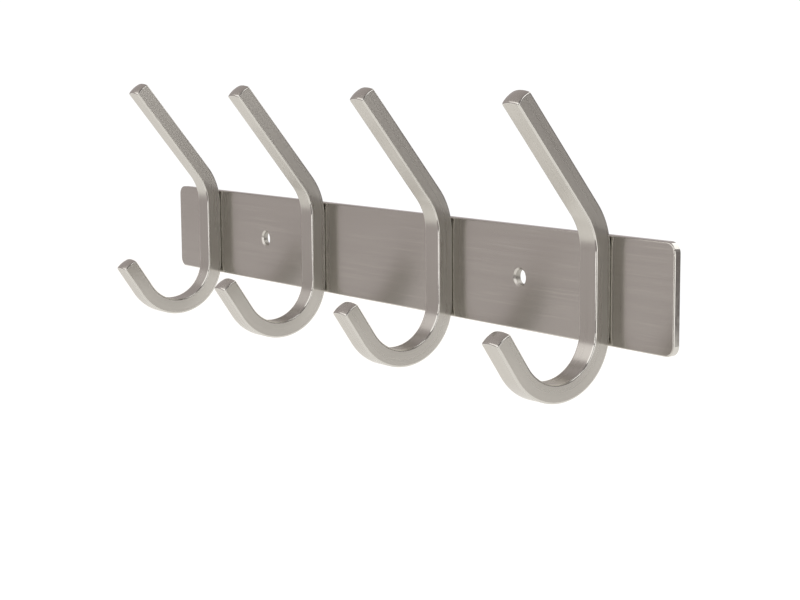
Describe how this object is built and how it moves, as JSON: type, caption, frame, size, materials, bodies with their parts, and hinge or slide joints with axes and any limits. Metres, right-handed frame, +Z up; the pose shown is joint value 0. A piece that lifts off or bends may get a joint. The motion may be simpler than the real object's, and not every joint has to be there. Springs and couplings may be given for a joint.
{
  "type": "wall hook rack",
  "caption": "Brushed stainless wall rail with a row of double hooks, each a bent flat bar with a long arm above and a curled cradle below.",
  "frame": {"origin": "centre of the plate's back face, in the plane of the wall", "axes": "+Z up, +X to the right as seen from the front along the row of hooks, +Y into the wall, so the hooks point to -Y"},
  "size_m": [0.348, 0.0553, 0.1097],
  "materials": {
    "plate_steel": "stainless steel, brushed along its length",
    "hook_steel": "stainless steel, brushed along the bent bar, ends ground",
    "screw_steel": "plain turned stainless steel"
  },
  "bodies": {
    "root": {"backplate": "plate_steel", "hook_1": "hook_steel", "hook_1_upper_screw": "screw_steel", "hook_1_lower_screw": "screw_steel", "hook_2": "hook_steel", "hook_2_upper_screw": "screw_steel", "hook_2_lower_screw": "screw_steel", "hook_3": "hook_steel", "hook_3_upper_screw": "screw_steel", "hook_3_lower_screw": "screw_steel", "hook_4": "hook_steel", "hook_4_upper_screw": "screw_steel", "hook_4_lower_screw": "screw_steel"}
  },
  "joints": []
}
